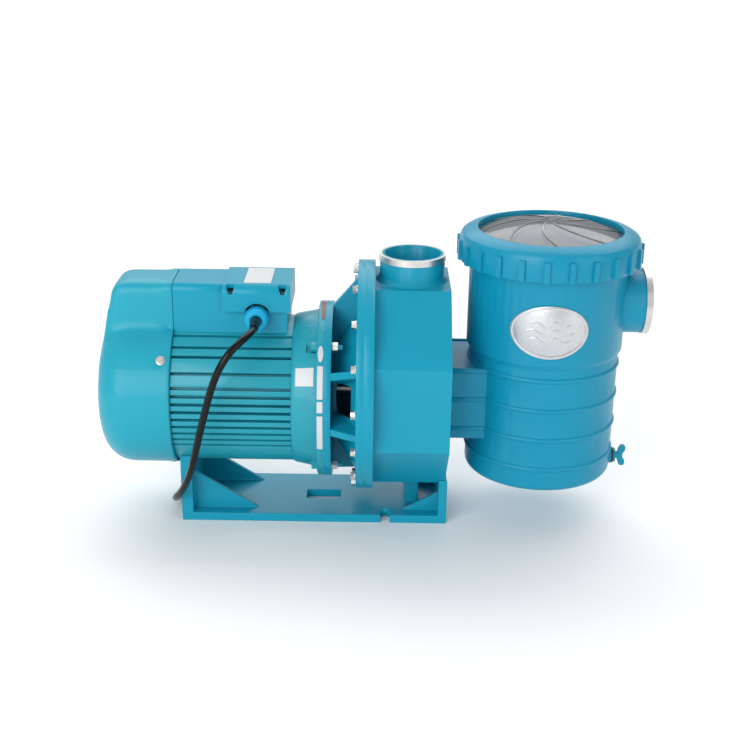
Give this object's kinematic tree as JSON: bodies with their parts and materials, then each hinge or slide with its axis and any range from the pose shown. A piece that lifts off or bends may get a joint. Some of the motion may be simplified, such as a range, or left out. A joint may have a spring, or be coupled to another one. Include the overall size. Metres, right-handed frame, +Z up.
{
  "type": "pool pump",
  "caption": "Self-priming pool pump: fan-cooled motor, eight-sided casing with an upward outlet, strainer pot with a side inlet, clear lid in a ribbed lock ring, on a moulded base.",
  "frame": {"origin": "on the base's underside, straight below the axis of the outlet port", "axes": "+X along the shaft from the motor towards the strainer pot, +Y across to the side away from the cable gland, +Z up"},
  "size_m": [0.6144, 0.3995, 0.3505],
  "materials": {
    "housing_plastic": "glossy moulded plastic, teal blue",
    "pot_plastic": "glossy moulded plastic, slightly bluer teal",
    "motor_paint": "glossy teal paint on die-cast aluminium",
    "fan_cover_plastic": "glossy moulded plastic, teal",
    "zinc_steel": "zinc-plated steel",
    "black_steel": "blackened steel",
    "ring_steel": "turned stainless steel",
    "core_steel": "stacked electrical steel, varnished",
    "winding_copper": "enamelled copper wire",
    "bearing_steel": "ground steel",
    "shaft_steel": "turned stainless steel",
    "rotor_aluminium": "die-cast aluminium over steel",
    "fan_plastic": "matt black plastic",
    "terminal_plastic": "ivory moulding",
    "capacitor_can": "white plastic can",
    "gland_plastic": "glossy bright blue nylon",
    "cord_rubber": "black rubber sheath",
    "tie_plastic": "white nylon strap",
    "seal_ceramic": "fine white ceramic",
    "seal_rubber": "black nitrile rubber",
    "impeller_plastic": "glass-filled plastic",
    "nut_brass": "turned brass",
    "badge_silver": "satin silver plate",
    "basket_plastic": "white moulded plastic",
    "lid_clear": "clear polycarbonate",
    "label_white": "blank white film",
    "label_red": "brown-red film"
  },
  "bodies": {
    "pump": {"base": "housing_plastic", "motor_frame": "motor_paint", "fan_cover": "fan_cover_plastic", "fan_cover_screws": "zinc_steel", "rear_end_shield": "motor_paint", "drive_end_shield": "motor_paint", "motor_bolts": "motor_paint", "motor_nuts": "zinc_steel", "stator_core": "core_steel", "stator_windings": "winding_copper", "rear_bearing": "bearing_steel", "drive_bearing": "bearing_steel", "terminal_box": "housing_plastic", "terminal_box_lid": "housing_plastic", "terminal_box_screws": "black_steel", "terminal_block": "terminal_plastic", "capacitor": "capacitor_can", "cable_gland": "gland_plastic", "cable_gland_nut": "gland_plastic", "strain_relief": "cord_rubber", "power_cord": "cord_rubber", "power_cord_coil": "cord_rubber", "cord_tie": "tie_plastic", "power_plug": "cord_rubber", "lantern": "housing_plastic", "seal_seat": "seal_ceramic", "diffuser": "impeller_plastic", "casing_gasket": "seal_rubber", "pump_casing": "housing_plastic", "casing_bolts": "zinc_steel", "outlet_ring": "ring_steel", "strainer_pot": "pot_plastic", "inlet_ring": "ring_steel", "badge": "badge_silver", "lid_seal": "seal_rubber", "rating_label": "label_white", "flange_labels": "label_white", "turn_label": "label_red", "box_label": "label_white"},
    "rotor": {"shaft": "shaft_steel", "rotor_core": "rotor_aluminium", "cooling_fan": "fan_plastic", "seal_rotor": "seal_rubber", "impeller": "impeller_plastic", "impeller_nut": "nut_brass"},
    "lid": {"strainer_lid": "lid_clear"},
    "lock_ring": {"lock_ring": "pot_plastic"},
    "basket": {"strainer_basket": "basket_plastic", "basket_handle": "basket_plastic"},
    "drain_washer": {"drain_seal": "seal_rubber"},
    "drain_plug": {"drain_plug": "housing_plastic"}
  },
  "joints": [
    {"name": "shaft_spin", "type": "hinge", "parent": "pump", "child": "rotor", "pos_m": [0, 0, 0.147], "axis": [1, 0, 0], "continuous": true},
    {"name": "lid_lift", "type": "slide", "parent": "pump", "child": "lid", "axis": [0, 0, 1], "range_m": [0, 0.3]},
    {"name": "ring_turn", "type": "hinge", "parent": "lid", "child": "lock_ring", "pos_m": [0.152, 0, 0.32], "axis": [0, 0, 1], "range_deg": [0, 60]},
    {"name": "basket_lift", "type": "slide", "parent": "pump", "child": "basket", "axis": [0, 0, 1], "range_m": [0, 0.26]},
    {"name": "drain_pull", "type": "slide", "parent": "pump", "child": "drain_washer", "axis": [1, 0, 0], "range_m": [0, 0.0101]},
    {"name": "drain_turn", "type": "hinge", "parent": "drain_washer", "child": "drain_plug", "pos_m": [0.2395, 0, 0.067], "axis": [1, 0, 0], "range_deg": [0, 1800]}
  ],
  "couplings": [
    {"joint": "basket_lift", "follows": "lid_lift", "ratio": 0.85},
    {"joint": "drain_pull", "follows": "drain_turn", "m_per_rad": 0.00031831}
  ]
}
